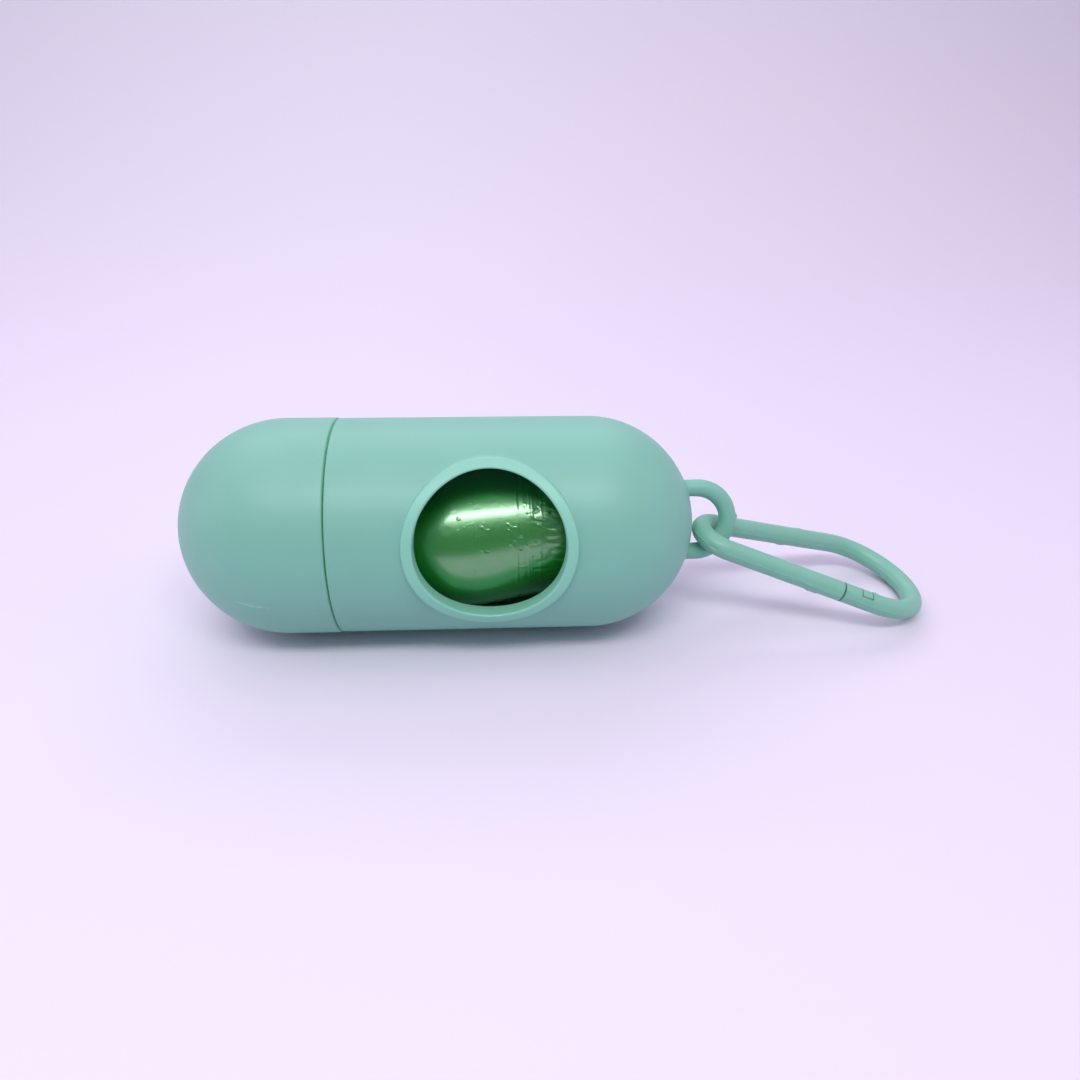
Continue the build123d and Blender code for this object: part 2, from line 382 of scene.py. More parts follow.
cut_or_join(body_piece, loop_piece, "UNION")
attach(body_piece, "body")
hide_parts("body_shell")

# Satin mint: soft wide highlights, faint mottling of the pigment, and a skin of fine spark-erosion pits. The
# window's thin rim is painted a little brighter than the rest, a painted glow for the light that comes through it.
# Painted glow on the rim: a brighter mint that stands in for light coming through the thin plastic.
RIM_PAINTED_GLOW = "92D6C0"
# Painted glow in the seam's groove: a brighter, greener mint that stands in for light through the plastic.
SEAM_PAINTED_GLOW = "BAF6D8"
MINT = "89C7B5"
MINT_DEEP = "82C0AE"
SKIN_GRAIN = 0.12 * MM
mint_place = add_node(mint_tree, "ShaderNodeTexCoord").outputs["Object"]
mint_mottle = add_node(mint_tree, "ShaderNodeTexNoise", {"Vector": mint_place, "Scale": 1 / (9 * MM), "Detail": 3.0})
mint_colour = mixed(mint_tree, mint_mottle.outputs["Fac"], linear(MINT), linear(MINT_DEEP))
window_place = add_node(
    mint_tree, "ShaderNodeVectorMath", {0: mint_place, 1: (WINDOW_X, 0, AXIS_Z)}, operation="SUBTRACT").outputs[0]
window_across = add_node(
    mint_tree, "ShaderNodeVectorMath", {0: window_place, 1: WINDOW_DIR}, operation="CROSS_PRODUCT").outputs[0]
window_rho = add_node(mint_tree, "ShaderNodeVectorMath", {0: window_across}, operation="LENGTH").outputs["Value"]
window_depth = add_node(
    mint_tree, "ShaderNodeVectorMath", {0: window_place, 1: WINDOW_DIR}, operation="DOT_PRODUCT").outputs["Value"]
# Where the rim's face is, the colour is painted brighter: painted glow for light through the rim.
rim_glow_mask = add_node(mint_tree, "ShaderNodeMath", {
    0: ramped(mint_tree, window_rho, RIM_R + 0.1 * MM, RIM_R - 0.3 * MM),
    1: ramped(mint_tree, window_depth, 0, BORE_R / 2)}, operation="MULTIPLY")
mint_with_rim_glow = mixed(mint_tree, rim_glow_mask.outputs[0], mint_colour, linear(RIM_PAINTED_GLOW))


def with_seam_glow(tree, place, colour):
    """A capsule colour with the seam's groove painted brighter and greener, a painted glow for the light that comes
    through the plastic there.
    """
    from_seam = add_node(
        tree, "ShaderNodeVectorMath", {0: place, 1: (SHOULDER_X - SEAM_GAP / 2, 0, AXIS_Z)}, operation="SUBTRACT")
    along = add_node(tree, "ShaderNodeVectorMath", {0: from_seam.outputs[0], 1: (1, 0, 0)}, operation="MULTIPLY")
    across = add_node(tree, "ShaderNodeVectorMath", {0: from_seam.outputs[0], 1: (0, 1, 1)}, operation="MULTIPLY")
    from_middle, from_axis = (
        add_node(tree, "ShaderNodeVectorMath", {0: part.outputs[0]}, operation="LENGTH").outputs["Value"]
        for part in (along, across))
    mask = add_node(tree, "ShaderNodeMath", {
        0: ramped(tree, from_middle, 0.9 * MM, 0.5 * MM),
        1: ramped(tree, from_axis, CAPSULE_R - 0.1 * MM, CAPSULE_R - 0.4 * MM)}, operation="MULTIPLY")
    return mixed(tree, mask.outputs[0], colour, linear(SEAM_PAINTED_GLOW))


# The base colour carries the painted glow of the rim and of the seam's groove.
mint_tree.links.new(with_seam_glow(mint_tree, mint_place, mint_with_rim_glow), mint_shader.inputs["Base Color"])
mint_grain = add_node(mint_tree, "ShaderNodeTexNoise", {"Vector": mint_place, "Scale": 1 / SKIN_GRAIN, "Detail": 2.0})
mint_bump = add_node(mint_tree, "ShaderNodeBump", {
    "Height": mint_grain.outputs["Fac"], "Strength": 0.12, "Distance": 0.02 * MM})
mint_tree.links.new(mint_bump.outputs["Normal"], mint_shader.inputs["Normal"])
mint_shader.inputs["Roughness"].default_value = 0.46
mint_shader.inputs["IOR"].default_value = 1.6


# ---- Thread of the neck
# A rounded right-hand ridge of one and a half turns on the body's neck, moulded with it. A helix is swept with
# a round section whose middle lies under the neck's skin, and both of its ends run out to nothing.
THREAD_PITCH = 3.0 * MM
THREAD_TURNS = 1.5
THREAD_SECTION_R = 0.6 * MM
THREAD_SUNK = 0.15 * MM
THREAD_START = 1.7 * MM
THREAD_RUN_OUT = 0.08


def thread_tree():
    """Geometry Nodes for a helical ridge along +X from its start, with named sizes."""
    tree = bpy.data.node_groups.new("helical_thread", "GeometryNodeTree")
    for name, kind in (
        ("Turns", "Float"), ("Pitch", "Float"), ("Radius", "Float"), ("Section radius", "Float"),
        ("Run out", "Float"), ("Start", "Vector"), ("Material", "Material"),
    ):
        tree.interface.new_socket(name=name, in_out="INPUT", socket_type="NodeSocket" + kind)
    tree.interface.new_socket(name="Geometry", in_out="OUTPUT", socket_type="NodeSocketGeometry")
    given = add_node(tree, "NodeGroupInput").outputs
    height = add_node(tree, "ShaderNodeMath", {0: given["Turns"], 1: given["Pitch"]}, operation="MULTIPLY")
    spiral = add_node(tree, "GeometryNodeCurveSpiral", {
        "Resolution": 120, "Rotations": given["Turns"], "Start Radius": given["Radius"],
        "End Radius": given["Radius"], "Height": height.outputs[0], "Reverse": True})
    along = add_node(tree, "GeometryNodeSplineParameter").outputs["Factor"]
    left = add_node(tree, "ShaderNodeMath", {0: 1.0, 1: along}, operation="SUBTRACT")
    nearest = add_node(tree, "ShaderNodeMath", {0: along, 1: left.outputs[0]}, operation="MINIMUM")
    taper = add_node(tree, "ShaderNodeMapRange", {
        "Value": nearest.outputs[0], "From Max": given["Run out"], "To Min": 0.05}, interpolation_type="SMOOTHSTEP")
    tapered = add_node(tree, "GeometryNodeSetCurveRadius", {
        "Curve": spiral.outputs["Curve"], "Radius": taper.outputs["Result"]})
    section = add_node(tree, "GeometryNodeCurvePrimitiveCircle", {"Resolution": 24, "Radius": given["Section radius"]})
    swept = add_node(tree, "GeometryNodeCurveToMesh", {
        "Curve": tapered.outputs["Curve"], "Profile Curve": section.outputs["Curve"], "Fill Caps": True})
    laid = add_node(tree, "GeometryNodeTransform", {
        "Geometry": swept.outputs["Mesh"], "Rotation": (0, pi / 2, 0), "Translation": given["Start"]})
    whole = add_node(tree, "GeometryNodeRealizeInstances", {"Geometry": laid.outputs["Geometry"]})
    painted = add_node(tree, "GeometryNodeSetMaterial", {
        "Geometry": whole.outputs["Geometry"], "Material": given["Material"]})
    add_node(tree, "NodeGroupOutput", {"Geometry": painted.outputs["Geometry"]})
    return tree


def grown(name, tree, values):
    """A plain mesh piece that a Geometry Nodes tree makes with these named inputs."""
    piece = bpy.data.objects.new(name, bpy.data.meshes.new(name))
    bpy.context.scene.collection.objects.link(piece)
    modifier = piece.modifiers.new("nodes", "NODES")
    modifier.node_group = tree
    for item in tree.interface.items_tree:
        if item.in_out == "INPUT":
            modifier[item.identifier] = values[item.name]
    made = bpy.data.meshes.new_from_object(piece.evaluated_get(bpy.context.evaluated_depsgraph_get()))
    piece.modifiers.remove(modifier)
    piece.data = made
    made.shade_smooth()
    made.set_sharp_from_angle(angle=radians(32))
    return piece


thread_nodes = thread_tree()
neck_thread = grown("neck_thread", thread_nodes, {
    "Turns": THREAD_TURNS, "Pitch": THREAD_PITCH, "Radius": NECK_R - THREAD_SUNK,
    "Section radius": THREAD_SECTION_R, "Run out": THREAD_RUN_OUT,
    "Start": (NECK_END_X + THREAD_START, 0, AXIS_Z), "Material": mint})
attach(neck_thread, "body")


# ---- Screw cap
# The second moulding of the capsule: a dome with a skirt that screws over the neck and stops a fine gap short
# of the body's shoulder. Its skin has had more handling, with a pale scuff low on the front.
CAP_R = (CAP_HIGH.z - CAP_LOW.z) / 2
CAP_X = CAP_LOW.x + CAP_R
CAP_STEP_X = CAP_X + 0.05 * MM
CAP_BORE_R = NECK_R + 0.7 * MM
CAP_HOLLOW_R = CAP_R - 2.7 * MM
CAP_EDGE_ROUND = 0.3 * MM

cap_profile = [(CAP_X - CAP_R, 0)]
cap_profile += arc(CAP_X, 0, CAP_R, 179, 90, 60)
cap_profile += [(x, CAP_R) for x in even(CAP_X, CAP_HIGH.x - CAP_EDGE_ROUND, 1.2 * MM)]
cap_profile += arc(CAP_HIGH.x - CAP_EDGE_ROUND, CAP_R - CAP_EDGE_ROUND, CAP_EDGE_ROUND, 75, 0, 5)
cap_profile += [(CAP_HIGH.x, CAP_BORE_R), (CAP_STEP_X, CAP_BORE_R), (CAP_STEP_X, CAP_HOLLOW_R)]
cap_profile += arc(CAP_X, 0, CAP_HOLLOW_R, 90, 178, 36)
cap_profile += [(CAP_X - CAP_HOLLOW_R, 0)]
cap_bm = bmesh.new()
cap_rings = [lathe_ring(cap_bm, x, r) for x, r in cap_profile]
for one, two in zip(cap_rings, cap_rings[1:]):
    join_rings(cap_bm, one, two)

# The same polypropylene as the body, with its own mottling, the scuff, and the seam's groove painted brighter and
# greener as a painted glow
CAP_SCUFF = "A9D8CD"
SCUFF_AT = (CAP_X - 4.2 * MM, -19.5 * MM, AXIS_Z - 4.6 * MM)
SCUFF_REACH = 4.2 * MM
SCUFF_TILT = radians(9)
cap_mint, cap_shader, cap_tree = new_material("satin_moulded_mint_polypropylene_handled")
cap_place = add_node(cap_tree, "ShaderNodeTexCoord").outputs["Object"]
cap_mottle = add_node(cap_tree, "ShaderNodeTexNoise", {"Vector": cap_place, "Scale": 1 / (7 * MM), "Detail": 3.0})
cap_colour = mixed(cap_tree, cap_mottle.outputs["Fac"], linear(MINT), linear(MINT_DEEP))
scuff_offset = add_node(cap_tree, "ShaderNodeVectorMath", {0: cap_place, 1: SCUFF_AT}, operation="SUBTRACT")
scuff_turned = add_node(cap_tree, "ShaderNodeVectorRotate", {
    "Vector": scuff_offset.outputs[0], "Angle": -SCUFF_TILT}, rotation_type="Y_AXIS")
scuff_flat = add_node(cap_tree, "ShaderNodeVectorMath", {
    0: scuff_turned.outputs[0], 1: (1, 1, 7)}, operation="MULTIPLY")
scuff_distance = add_node(cap_tree, "ShaderNodeVectorMath", {0: scuff_flat.outputs[0]}, operation="LENGTH")
scuff_near = ramped(cap_tree, scuff_distance.outputs["Value"], SCUFF_REACH, 0.3 * SCUFF_REACH)
scuff_streaks = add_node(cap_tree, "ShaderNodeTexNoise", {
    "Vector": scuff_flat.outputs[0], "Scale": 1 / (0.9 * MM), "Detail": 4.0})
scuff_mask = add_node(cap_tree, "ShaderNodeMath", {
    0: scuff_near, 1: ramped(cap_tree, scuff_streaks.outputs["Fac"], 0.42, 0.62)}, operation="MULTIPLY")
scuff_colour = mixed(cap_tree, scuff_mask.outputs[0], cap_colour, linear(CAP_SCUFF))
cap_tree.links.new(with_seam_glow(cap_tree, cap_place, scuff_colour), cap_shader.inputs["Base Color"])
cap_grain = add_node(cap_tree, "ShaderNodeTexNoise", {"Vector": cap_place, "Scale": 1 / SKIN_GRAIN, "Detail": 2.0})
cap_bump = add_node(cap_tree, "ShaderNodeBump", {
    "Height": cap_grain.outputs["Fac"], "Strength": 0.12, "Distance": 0.02 * MM})
cap_tree.links.new(cap_bump.outputs["Normal"], cap_shader.inputs["Normal"])
cap_shader.inputs["Roughness"].default_value = 0.46
cap_shader.inputs["IOR"].default_value = 1.6

cap_piece = new_piece("cap_moulding", cap_bm, cap_mint)
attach(cap_piece, "cap")
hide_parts("screw_cap")


# ---- Thread inside the cap
# The same ridge turned inwards, moulded in the skirt half a pitch from the neck's, so the two lock side by side.
cap_thread = grown("cap_thread", thread_nodes, {
    "Turns": THREAD_TURNS, "Pitch": THREAD_PITCH, "Radius": CAP_BORE_R + THREAD_SUNK,
    "Section radius": THREAD_SECTION_R, "Run out": THREAD_RUN_OUT,
    "Start": (NECK_END_X + THREAD_START + THREAD_PITCH / 2, 0, AXIS_Z), "Material": cap_mint})
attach(cap_thread, "cap")


# ---- Roll of bags
# One strip of thin green polythene bags, folded lengthways and wound tight on the tube. The outer bag has
# folds that run round the roll, lies a little askew on the rest, and is crumpled at its right-hand side.
ROLL_R = (ROLL_HIGH.y - ROLL_LOW.y) / 2
ROLL_Z = ROLL_LOW.z + ROLL_R
ROLL_LAP = 0.5 * MM
TUBE_R = 7.5 * MM
FINE_STEP = 0.15 * MM
SKEW = 1.0 * MM
SKEW_TOWARDS = radians(59)
DRAWN_IN_AT = radians(228)
SETTLED = 0.45

# Folds that run round the roll, as (distance from the window's middle, height, half width), in mm
FOLDS = [
    (-13.8, 0.05, 0.30), (-2.6, 0.04, 0.12), (4.75, 0.09, 0.12), (5.2, -0.06, 0.15), (5.9, 0.05, 0.11),
    (6.9, 0.09, 0.12), (7.4, 0.07, 0.11), (9.0, 0.06, 0.16), (16.2, 0.06, 0.30), (-24.5, 0.05, 0.30),
    (-36.0, 0.06, 0.35),
]

# Short creases that cross it: (from the window's middle in mm, degrees round, the same for its other end, height)
CREASES = [
    (3.1, 146.0, 4.6, 148.6, 0.05), (3.2, 150.5, 5.6, 155.6, 0.06), (3.0, 154.0, 4.4, 158.0, 0.04),
    (3.6, 160.6, 5.5, 166.5, 0.06), (-1.4, 148.0, -0.2, 150.2, 0.05), (-1.5, 164.5, -0.4, 167.6, 0.05),
    (-0.9, 167.6, -0.4, 165.0, 0.04), (6.4, 162.0, 7.4, 171.0, 0.05), (4.4, 178.4, 6.4, 179.2, 0.04),
    (8.0, 160.6, 8.7, 168.4, 0.05), (-5.6, 141.2, -5.3, 141.8, 0.08), (-2.8, 179.0, -2.7, 180.5, 0.08),
    (6.2, 131.0, 6.5, 138.0, 0.05), (7.6, 136.0, 9.2, 130.0, 0.06), (8.6, 133.0, 10.4, 139.0, 0.06),
    (7.2, 140.0, 9.6, 144.0, 0.05), (9.6, 130.0, 11.2, 136.0, 0.05), (8.4, 147.0, 11.8, 151.5, 0.05),
]
CREASE_WIDTH = 0.15


def soft_step(value, start, end):
    """0 before start, 1 after end, and smooth between them."""
    t = min(1, max(0, (value - start) / (end - start)))
    return t * t * (3 - 2 * t)


def crease_lift(at, arc_at):
    """Height of the short creases, at a place on the unrolled film, all in mm."""
    lift = 0
    for x1, turn1, x2, turn2, height in CREASES:
        a1, a2 = (radians(turn) * ROLL_R / MM for turn in (turn1, turn2))
        if min(x1, x2) - 0.6 < at < max(x1, x2) + 0.6 and min(a1, a2) - 0.6 < arc_at < max(a1, a2) + 0.6:
            along = ((at - x1) * (x2 - x1) + (arc_at - a1) * (a2 - a1)) / ((x2 - x1) ** 2 + (a2 - a1) ** 2)
            t = min(1, max(0, along))
            bow = 0.35 * sin(pi * t)
            miss = Vector((at - x1 - t * (x2 - x1), arc_at - bow - a1 - t * (a2 - a1))).length
            lift += 1.3 * height * ridge(miss, CREASE_WIDTH)
    return lift


def film_lift(x, angle):
    """How far the outer bag stands off the plain spiral, at x and at an angle round the roll."""
    at = (x - WINDOW_X) / MM
    wrap = Vector((cos(angle), sin(angle), 0)) * (ROLL_R / MM)
    drift = 0.25 * noise.noise(Vector((wrap.x * 0.12, wrap.y * 0.12, 3.1)))
    lift = SKEW / MM * ((2 * soft_step(at, -16, 16) - 1) * cos(angle - SKEW_TOWARDS) - 1)
    for place, height, half_width in FOLDS:
        wander = drift + 0.12 * noise.noise(Vector((wrap.x * 0.35, wrap.y * 0.35, place)))
        if abs(at - place - wander) < 3 * half_width:
            strength = 0.6 + 0.4 * noise.noise(Vector((wrap.x * 0.2, wrap.y * 0.2, 9 + place)))
            lift += height * strength * ridge(at - place - wander, half_width)
    lift += 0.05 * noise.noise(Vector((at * 0.09, wrap.x * 0.11, wrap.y * 0.11)))
    lift -= SETTLED * (1 + cos(angle - SKEW_TOWARDS))
    lift -= 0.9 * soft_step(-at, 6.5, 15) * (1 - soft_step(-at, 17, 26))
    lift -= 1.1 * soft_step(at, -5, 11) * max(0, cos(angle - DRAWN_IN_AT)) ** 2
    lift += crease_lift(at, angle * ROLL_R / MM)
    crumple = soft_step(at, 5, 11)
    if crumple:
        spot = Vector((at * 0.28, wrap.x * 0.6, wrap.y * 0.6))
        lift += crumple * 0.18 * (abs(noise.noise(spot)) - 0.3)
        drawn = Vector((at * 0.22, wrap.x * 1.0, wrap.y * 1.0))
        lift += soft_step(at, 7, 12) * 0.07 * noise.noise(drawn)
    lift -= 0.05 * max(0, noise.noise(Vector((at * 0.5 + 20, wrap.x * 0.5, wrap.y * 0.5))) - 0.42)
    return lift * MM


def spiral_radius(angle):
    """Radius of the roll's outline: a half circle below, and above it one that steps down a lap at the back."""
    if sin(angle) < -1e-9:
        return ROLL_R
    shift, inner = ROLL_LAP / 2, ROLL_R - ROLL_LAP / 2
    return -shift * cos(angle) + sqrt(inner**2 - (shift * sin(angle)) ** 2)


def film_vertex(bm, x, angle, radius):
    """A vertex of the roll. Angle 0 is at the back, and a quarter turn is the top."""
    return bm.verts.new((x, radius * cos(angle), ROLL_Z + radius * sin(angle)))


def join_film(bm, one, two):
    """Joins two rows of the roll. The last column stands over the first, and a face closes the step."""
    for k in range(len(one) - 1):
        bm.faces.new((one[k], one[k + 1], two[k + 1], two[k]))
    bm.faces.new((one[-1], one[0], two[0], two[-1]))


roll_bm = bmesh.new()
fine_low, fine_high = WINDOW_X - 14 * MM, WINDOW_X + 14 * MM
film_xs = [ROLL_LOW.x] + even(ROLL_LOW.x, fine_low, 0.6 * MM) + even(fine_low, fine_high, FINE_STEP)
film_xs += even(fine_high, ROLL_HIGH.x, 0.6 * MM)
film_angles = [0] + even(0, radians(95), radians(2.4)) + even(radians(95), radians(200), radians(0.5))
film_angles += even(radians(200), tau, radians(2.4))
film_rows = []
for x in film_xs:
    from_end = min(x - ROLL_LOW.x, ROLL_HIGH.x - x)
    rolled_over = 0.3 * MM * (1 - soft_step(from_end, 0, 1.2 * MM))
    row = []
    for k, angle in enumerate(film_angles):
        base = ROLL_R if k == len(film_angles) - 1 else spiral_radius(angle)
        row.append(film_vertex(roll_bm, x, angle, min(ROLL_R, base + film_lift(x, angle)) - rolled_over))
    film_rows.append(row)

# Both ends show the wound edges of the strip, which stand at slightly different depths
WINDINGS = 26


def wound_end(bm, outer, x, inwards):
    """Rings over one end of the roll, from its outer edge in to the tube."""
    made = []
    edge = [Vector((v.co.y, v.co.z - ROLL_Z)).length for v in outer]
    for d in range(1, WINDINGS + 1):
        ring = []
        for angle, edge_r in zip(film_angles, edge):
            radius = edge_r + (TUBE_R - edge_r) * d / WINDINGS
            place = Vector((d * 1.7, cos(angle) * 0.8, sin(angle) * 0.8 + inwards))
            sunk = max(0, 0.10 + 0.05 * (d % 2) + 0.12 * noise.noise(place)) * MM
            ring.append(film_vertex(bm, x + inwards * sunk, angle, radius))
        made.append(ring)
    return made


left_end = wound_end(roll_bm, film_rows[0], ROLL_LOW.x, 1)
right_end = wound_end(roll_bm, film_rows[-1], ROLL_HIGH.x, -1)
film_chain = left_end[::-1] + film_rows + right_end
for one, two in zip(film_chain, film_chain[1:] + film_chain[:1]):
    join_film(roll_bm, one, two)

# Glossy green polythene. Each of the many thin layers reflects a little, so the stack shines more than one
# surface does, and the IOR stands for that. Fine wrinkles run round the roll, with scattered pinches.
FILM = "007C0C"
FILM_DEEP = "006C08"
film, film_shader, film_tree = new_material("glossy_green_polythene_film")
film_place = add_node(film_tree, "ShaderNodeTexCoord").outputs["Object"]
film_cloud = add_node(film_tree, "ShaderNodeTexNoise", {"Vector": film_place, "Scale": 1 / (6 * MM), "Detail": 4.0})
film_colour = mixed(film_tree, film_cloud.outputs["Fac"], linear(FILM), linear(FILM_DEEP))
film_tree.links.new(film_colour, film_shader.inputs["Base Color"])
film_drawn = add_node(film_tree, "ShaderNodeVectorMath", {0: film_place, 1: (1, 0.16, 0.16)}, operation="MULTIPLY")
film_wrinkle = add_node(film_tree, "ShaderNodeTexNoise", {
    "Vector": film_drawn.outputs[0], "Scale": 1 / (0.55 * MM), "Detail": 3.0, "Distortion": 0.6})
film_pinch = add_node(film_tree, "ShaderNodeTexNoise", {
    "Vector": film_place, "Scale": 1 / (1.6 * MM), "Detail": 2.0, "Distortion": 1.2})
film_height = add_node(film_tree, "ShaderNodeMath", {
    0: film_wrinkle.outputs["Fac"], 1: ramped(film_tree, film_pinch.outputs["Fac"], 0.60, 0.72)}, operation="ADD")
film_bump = add_node(film_tree, "ShaderNodeBump", {
    "Height": film_height.outputs[0], "Strength": 0.35, "Distance": 0.05 * MM})
film_tree.links.new(film_bump.outputs["Normal"], film_shader.inputs["Normal"])
film_shader.inputs["Roughness"].default_value = 0.33
film_shader.inputs["IOR"].default_value = 2.7
film_shader.inputs["Specular Tint"].default_value = linear("BAFFC1")
film_shader.inputs["Coat Weight"].default_value = 1.0
film_shader.inputs["Coat Roughness"].default_value = 0.20
film_shader.inputs["Coat IOR"].default_value = 1.85

roll_piece = new_piece("bag_roll_film", roll_bm, film, sharp_from=50)
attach(roll_piece, "roll")
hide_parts("bag_roll")


# ---- Cardboard tube
# The spiral-wound tube that the strip is wound on, cut square. It shows only at the roll's ends.
TUBE_LOW, TUBE_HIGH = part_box("roll_core")
TUBE_WALL = 1.0 * MM
TUBE_PLY = 14 * MM
TUBE_SIDES = 120
TUBE_CARD = "8C7A62"
TUBE_CARD_DARK = "6E5E4A"
tube_card, tube_shader, tube_tree = new_material("grey_brown_spiral_wound_cardboard")
tube_place = add_node(tube_tree, "ShaderNodeTexCoord").outputs["Object"]
tube_drawn = add_node(tube_tree, "ShaderNodeVectorMath", {0: tube_place, 1: (0.3, 1, 1)}, operation="MULTIPLY")
tube_fibre = add_node(tube_tree, "ShaderNodeTexNoise", {
    "Vector": tube_drawn.outputs[0], "Scale": 1 / (0.35 * MM), "Detail": 5.0})
tube_shade = ramped(tube_tree, tube_fibre.outputs["Fac"], 0.3, 0.7)
tube_tree.links.new(mixed(tube_tree, tube_shade, linear(TUBE_CARD), linear(TUBE_CARD_DARK)), tube_shader.inputs["Base Color"])
tube_bump = add_node(tube_tree, "ShaderNodeBump", {
    "Height": tube_fibre.outputs["Fac"], "Strength": 0.5, "Distance": 0.05 * MM})
tube_tree.links.new(tube_bump.outputs["Normal"], tube_shader.inputs["Normal"])
tube_shader.inputs["Roughness"].default_value = 0.92

tube_bm = bmesh.new()
tube_xs = [TUBE_LOW.x] + even(TUBE_LOW.x, TUBE_HIGH.x, 0.5 * MM)
tube_rings = []
for radius, outwards, xs in ((TUBE_R - 0.02 * MM, -1, tube_xs), (TUBE_R - TUBE_WALL, 1, tube_xs[::-1])):
    for x in xs:
        ring = []
        for angle in [tau * k / TUBE_SIDES for k in range(TUBE_SIDES)]:
            # The plies meet in a shallow groove that winds along the tube, and the cut ends are a little rough
            turn = (x / TUBE_PLY - angle / tau) % 1
            r = radius + outwards * 0.05 * MM * ridge(min(turn, 1 - turn) * TUBE_PLY, 0.35 * MM)
            rough = 0.10 * MM * abs(noise.noise(Vector((cos(angle) * 4, sin(angle) * 4, radius / MM))))
            end = {TUBE_LOW.x: rough, TUBE_HIGH.x: -rough}.get(x, 0)
            ring.append(tube_bm.verts.new((x + end, r * cos(angle), ROLL_Z + r * sin(angle))))
        tube_rings.append(ring)
for one, two in zip(tube_rings, tube_rings[1:] + tube_rings[:1]):
    join_rings(tube_bm, one, two)
tube_piece = new_piece("cardboard_tube", tube_bm, tube_card)
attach(tube_piece, "roll")
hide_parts("roll_core")


# ---- Clip bar
# The carabiner's ring, moulded flat in polypropylene: a round bar from the gate's root round both bends to the
# nose, whose slot and notch hold the gate's tip. It keeps the flash and the parting line of a worn mould.
BAR_R = 1.93 * MM
NARROW_R = 4.8 * MM
WIDE_R = 11.2 * MM
SPAN = 32.3 * MM
YAW = radians(5)
SPREAD = asin((WIDE_R - NARROW_R) / SPAN)
ARM_ANGLE = pi / 2 + SPREAD
GATE_ROOT = 3.0 * MM
BLEND_HALF = 1.5 * MM
NOSE_AT = 21.12 * MM
NOTCH_AT = 24.45 * MM
NOTCH_WIDTH = 2.45 * MM
NOTCH_OUT = 1.5 * MM
SLOT_OUT = 0.9 * MM
SLOT_HALF = 0.65 * MM

gate_joint = next(j for j in frame["joints"] if j["name"] == "gate_open")
GATE_PIVOT = Vector(gate_joint["pos_m"])
CLIP_N = Vector(gate_joint["axis"]).normalized()
CLIP_X = Vector((CLIP_N.z, 0, -CLIP_N.x)) * cos(YAW) + Vector((0, 1, 0)) * sin(YAW)
CLIP_Y = CLIP_N.cross(CLIP_X)
GATE_DIR = CLIP_X * cos(SPREAD) - CLIP_Y * sin(SPREAD)
SPINE_DIR = CLIP_X * cos(SPREAD) + CLIP_Y * sin(SPREAD)
INWARD = CLIP_N.cross(GATE_DIR)
GATE_LINE = GATE_PIVOT - GATE_DIR * GATE_ROOT
NARROW_C = GATE_LINE + INWARD * NARROW_R
WIDE_C = NARROW_C + CLIP_X * SPAN
SPINE_LENGTH = SPAN * cos(SPREAD)

# Marks of the mould, as (along the bar, its reach along, round the bar, its reach round, height), in mm and
# radians. The gate side is measured from its start at the narrow bend, and so is the spine.
GATE_MARKS = [
    (-2.3, 0.75, 0.02, 0.11, -0.28), (17.4, 0.35, 1.05, 0.25, 0.19), (18.3, 0.5, 1.0, 0.25, 0.15),
    (19.0, 0.3, 1.0, 0.22, 0.18), (30.6, 0.35, -1.9, 0.25, 0.20),
]
SPINE_MARKS = [(17.3, 0.4, 2.15, 0.25, 0.15), (18.2, 0.6, 2.1, 0.25, 0.19), (22.3, 0.8, -1.1, 0.30, 0.14)]
SEAM_START, SEAM_END, SEAM_HEIGHT = 15.3, 23.3, 0.15


def mark_lift(marks, at, angle):
    """Height of all the marks of a stretch, at a distance along it in mm and an angle round the bar."""
    return sum(
        height * MM * ridge(at - place, reach) * ridge(off(angle, around), width)
        for place, reach, around, width, height in marks if abs(at - place) < 3 * reach
    )


def gate_lift(at):
    """The lift round the bar at a distance in mm along the gate's side."""
    strength = soft_step(at, SEAM_START - 0.4, SEAM_START + 0.4) * (1 - soft_step(at, SEAM_END - 0.4, SEAM_END + 0.4))
    line = 0.1 * noise.noise(Vector((at * 0.9, 0, 4))) + 0.03 * (at - SEAM_START)

    def lift(angle):
        seam = SEAM_HEIGHT * MM * strength * ridge(off(angle, line) * BAR_R, 0.16 * MM)
        return parting(angle, BAR_R) + seam + mark_lift(GATE_MARKS, at, angle)

    return lift


def spine_lift(at):
    """The lift round the bar at a distance in mm along the spine's side."""
    return lambda angle: parting(angle, BAR_R) + mark_lift(SPINE_MARKS, at, angle)


def bend_ring(bm, centre, radius, angle, lift):
    """A ring of the bar in a bend, at an angle in the clip's plane."""
    out = cos(angle) * CLIP_X + sin(angle) * CLIP_Y
    return bar_ring(bm, centre + radius * out, out.cross(CLIP_N), -CLIP_N, BAR_R, lift)


clip_bm = bmesh.new()
clip_chain = []
root_at = GATE_ROOT - BLEND_HALF
for at in [root_at] + even(root_at, 0, 0.3 * MM):
    clip_chain.append(bar_ring(clip_bm, GATE_LINE + GATE_DIR * at, -GATE_DIR, -CLIP_N, BAR_R, gate_lift(at / MM)))
for turn in even(0, tau - 2 * ARM_ANGLE, 0.055):
    clip_chain.append(bend_ring(clip_bm, NARROW_C, NARROW_R, -ARM_ANGLE - turn, gate_lift(-turn * NARROW_R / MM)))
spine_start = NARROW_C + NARROW_R * (cos(ARM_ANGLE) * CLIP_X + sin(ARM_ANGLE) * CLIP_Y)
for at in even(0, SPINE_LENGTH, 0.3 * MM):
    clip_chain.append(bar_ring(clip_bm, spine_start + SPINE_DIR * at, SPINE_DIR, -CLIP_N, BAR_R, spine_lift(at / MM)))
